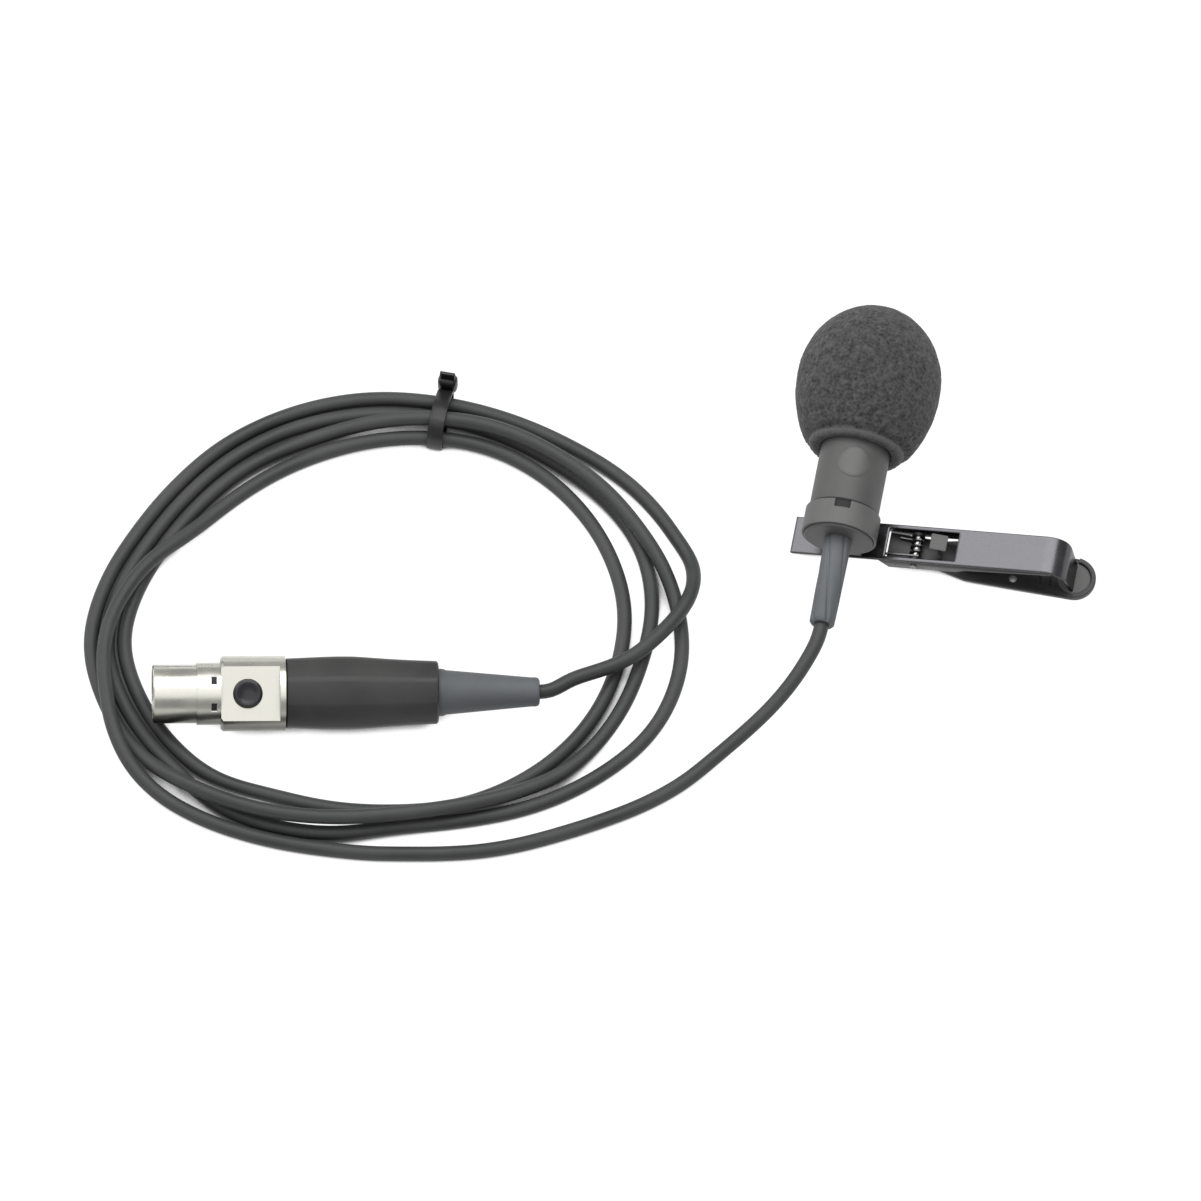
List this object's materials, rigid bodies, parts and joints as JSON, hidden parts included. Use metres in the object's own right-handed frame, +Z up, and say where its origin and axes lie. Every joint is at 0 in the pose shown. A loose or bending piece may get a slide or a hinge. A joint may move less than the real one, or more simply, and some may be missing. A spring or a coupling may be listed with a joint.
{
  "type": "lavalier microphone",
  "caption": "Tie-clip microphone with a foam windscreen, a sprung clip on a swivel ring, and a thin cable wound into a tied coil that ends in a small latching round plug.",
  "frame": {"origin": "on the ground, under the middle of the box round the microphone and its clip, cable left out", "axes": "+Z up, +Y the way the microphone's head points as it lies, +X the way the clip reaches"},
  "size_m": [0.1389, 0.0956, 0.0205],
  "materials": {
    "foam": "open-cell foam",
    "black_metal": "satin black",
    "grille_metal": "satin black, perforated",
    "pale_disc": "satin",
    "dark_nickel": "polished black nickel",
    "jaw_black": "satin black",
    "steel": "plain",
    "cable": "matt",
    "relief_rubber": "matt",
    "nickel": "satin nickel",
    "sleeve_black": "fine satin",
    "black_insulator": "matt",
    "gold": "gold plated",
    "button_black": "satin",
    "can_metal": "plain",
    "film": "metallised film on a ring",
    "spacer_film": "plain",
    "plate_metal": "plain",
    "clear_plastic": "plain",
    "board": "solder mask",
    "seal_rubber": "matt",
    "cloth": "fine mesh",
    "wire_coat": "plain",
    "tie_plastic": "plain"
  },
  "bodies": {
    "microphone": {"head_grille": "grille_metal", "grille_cloth": "cloth", "capsule_housing": "black_metal", "badge": "pale_disc", "capsule_gasket": "seal_rubber", "capsule_can": "can_metal", "diaphragm": "film", "capsule_spacer": "spacer_film", "backplate": "plate_metal", "capsule_holder": "clear_plastic", "capsule_board": "board", "rear_cap": "black_metal", "mic_strain_relief": "relief_rubber", "cable_crimp": "steel", "mic_cable_end": "cable", "mic_wires": "wire_coat", "cord_lead_mic": "cable", "cord_coil": "cable", "cord_lead_plug": "cable", "coil_tie": "tie_plastic", "plug_shell": "nickel", "plug_insert": "black_insulator", "plug_contacts": "gold", "button_spring": "steel", "plug_sleeve": "sleeve_black", "plug_clamp": "steel", "plug_strain_relief": "relief_rubber", "plug_cable_end": "cable", "plug_wires": "wire_coat"},
    "windscreen": {"windscreen": "foam"},
    "clip": {"holder_ring": "jaw_black", "ring_rivet": "steel", "clip_arm": "dark_nickel", "clip_pin": "steel", "clip_spring": "steel"},
    "jaw": {"clip_jaw": "jaw_black"},
    "latch": {"plug_button": "button_black"}
  },
  "joints": [
    {"name": "mic_turn", "type": "hinge", "parent": "microphone", "child": "clip", "pos_m": [-0.01313, -0.00902, 0.0078], "axis": [0, -0.9939, -0.1103], "range_deg": [0, 180]},
    {"name": "jaw_open", "type": "hinge", "parent": "clip", "child": "jaw", "pos_m": [-0.00244, -0.00775, 0.00271], "axis": [0, 0.9939, 0.1103], "range_deg": [0, 15], "stiffness_Nm_per_rad": 0.06, "springref_deg": -28.65, "deforming": ["clip_spring"]},
    {"name": "windscreen_pull", "type": "slide", "parent": "microphone", "child": "windscreen", "axis": [0, 0.9939, 0.1103], "range_m": [0, 0.009]},
    {"name": "latch_press", "type": "slide", "parent": "microphone", "child": "latch", "axis": [-0.1397, 0.4813, -0.8653], "range_m": [0, 0.0006], "stiffness_N_per_m": 500, "springref_m": -0.001, "deforming": ["button_spring"]}
  ]
}
